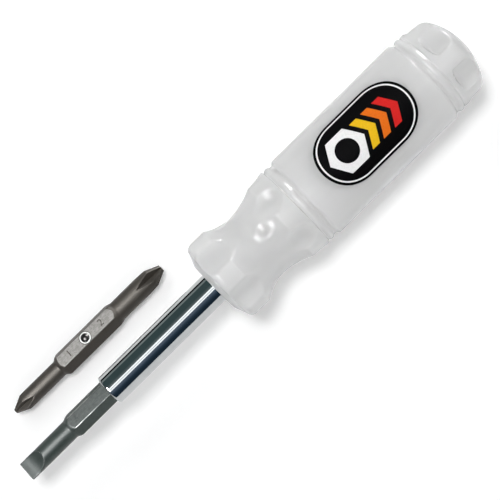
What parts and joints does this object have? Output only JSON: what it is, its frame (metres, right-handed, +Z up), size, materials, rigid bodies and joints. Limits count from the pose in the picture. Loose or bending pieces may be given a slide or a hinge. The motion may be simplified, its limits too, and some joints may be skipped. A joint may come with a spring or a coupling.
{
  "type": "pocket screwdriver",
  "caption": "Pocket screwdriver with a fluted milky handle, a reversible plated tube shaft, a slotted bit in its socket and a loose double-ended cross bit beside it.",
  "frame": {"origin": "on the surface that the driver lies on, below the middle of its box", "axes": "+X along the driver from the blade towards the butt, +Y from the driver towards the loose bit, +Z up"},
  "size_m": [0.162, 0.0346, 0.0262],
  "materials": {
    "handle_plastic": "milky, slightly translucent moulded plastic with a soft gloss",
    "plated_tube": "bright plating on drawn steel tube",
    "spring_wire": "drawn spring wire",
    "grey_bit_steel": "hardened bit steel with a grey-green phosphate finish",
    "brown_bit_steel": "hardened bit steel, warm dark grey, with a ground top flat",
    "ball_steel": "dark polished ball steel"
  },
  "bodies": {
    "handle": {"handle": "handle_plastic"},
    "shaft": {"shaft_tube": "plated_tube", "retaining_ring": "spring_wire"},
    "slotted": {"slotted_bit": "grey_bit_steel", "slotted_bit_spring": "spring_wire"},
    "slotted_ball": {"slotted_bit_ball": "ball_steel"},
    "phillips": {"phillips_bit": "brown_bit_steel", "phillips_bit_spring": "spring_wire"},
    "phillips_ball": {"phillips_bit_ball": "ball_steel"}
  },
  "joints": [
    {"name": "shaft_slide", "type": "slide", "parent": "handle", "child": "shaft", "axis": [-1, 0, 0], "range_m": [0, 0.054]},
    {"name": "slotted_bit_slide", "type": "slide", "parent": "shaft", "child": "slotted", "axis": [-1, 0, 0], "range_m": [0, 0.037]},
    {"name": "slotted_ball_press", "type": "slide", "parent": "slotted", "child": "slotted_ball", "axis": [0, 0, -1], "range_m": [0, 0.0003], "stiffness_N_per_m": 400, "deforming": ["slotted_bit_spring"]},
    {"name": "phillips_lift", "type": "slide", "parent": "handle", "child": "phillips", "axis": [0, 0, 1], "range_m": [0, 0.04]},
    {"name": "phillips_ball_press", "type": "slide", "parent": "phillips", "child": "phillips_ball", "axis": [0, 0, -1], "range_m": [0, 0.0005], "stiffness_N_per_m": 400, "deforming": ["phillips_bit_spring"]}
  ]
}
